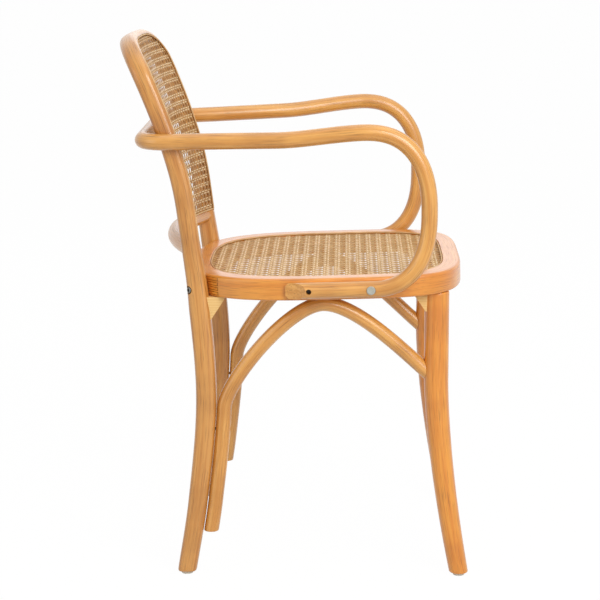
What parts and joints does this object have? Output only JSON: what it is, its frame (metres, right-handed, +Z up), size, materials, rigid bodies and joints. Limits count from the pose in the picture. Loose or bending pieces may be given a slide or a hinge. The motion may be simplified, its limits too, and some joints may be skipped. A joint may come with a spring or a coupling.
{
  "type": "cane dining chair",
  "caption": "Bentwood dining armchair with a woven cane seat and back, one bent rod for both arms, arched side braces and splayed legs.",
  "frame": {"origin": "on the floor, below the middle of the chair's overall box", "axes": "+X towards the front of the chair, +Y to the sitter's left, +Z up"},
  "size_m": [0.5282, 0.4936, 0.7984],
  "materials": {
    "lacquered_bentwood": "steam-bent hardwood, honey stain, satin clear lacquer",
    "woven_cane": "natural six-way woven cane webbing",
    "reed_spline": "natural reed",
    "raw_softwood": "sawn, unfinished",
    "blackened_steel": "black oxide",
    "zinc_plated_steel": "zinc plated",
    "grey_cap_plastic": "moulded, satin",
    "nylon_glide": "moulded nylon"
  },
  "bodies": {
    "root": {"back_hoop": "lacquered_bentwood", "back_lower_rail": "lacquered_bentwood", "seat_bent_rail": "lacquered_bentwood", "seat_rear_rail": "lacquered_bentwood", "arm_hoop": "lacquered_bentwood", "front_leg_left": "lacquered_bentwood", "front_leg_right": "lacquered_bentwood", "side_brace_left": "lacquered_bentwood", "side_brace_right": "lacquered_bentwood", "back_cane": "woven_cane", "seat_cane": "woven_cane", "back_cane_spline": "reed_spline", "seat_cane_spline": "reed_spline", "corner_block_front_left": "raw_softwood", "corner_block_front_right": "raw_softwood", "corner_block_rear_left": "raw_softwood", "corner_block_rear_right": "raw_softwood", "back_rail_dowel_left": "raw_softwood", "back_rail_dowel_right": "raw_softwood", "brace_dowel_left": "raw_softwood", "brace_dowel_right": "raw_softwood", "rear_leg_bolt_left": "blackened_steel", "rear_leg_bolt_right": "blackened_steel", "rear_leg_washer_left": "blackened_steel", "rear_leg_washer_right": "blackened_steel", "arm_back_screw_left": "blackened_steel", "arm_back_screw_right": "blackened_steel", "brace_rear_screw_left": "blackened_steel", "brace_rear_screw_right": "blackened_steel", "arm_screw_front_left": "blackened_steel", "arm_screw_front_right": "blackened_steel", "arm_screw_rear_left": "blackened_steel", "arm_screw_rear_right": "blackened_steel", "rear_leg_barrel_nut_left": "zinc_plated_steel", "rear_leg_barrel_nut_right": "zinc_plated_steel", "brace_seat_screw_left": "zinc_plated_steel", "brace_seat_screw_right": "zinc_plated_steel", "corner_block_screw_front_left": "zinc_plated_steel", "corner_block_screw_front_right": "zinc_plated_steel", "corner_block_screw_rear_left": "zinc_plated_steel", "corner_block_screw_rear_right": "zinc_plated_steel", "arm_screw_cap_left": "grey_cap_plastic", "arm_screw_cap_right": "grey_cap_plastic", "foot_glide_front_left": "nylon_glide", "foot_glide_front_right": "nylon_glide", "foot_glide_rear_left": "nylon_glide", "foot_glide_rear_right": "nylon_glide"}
  },
  "joints": []
}
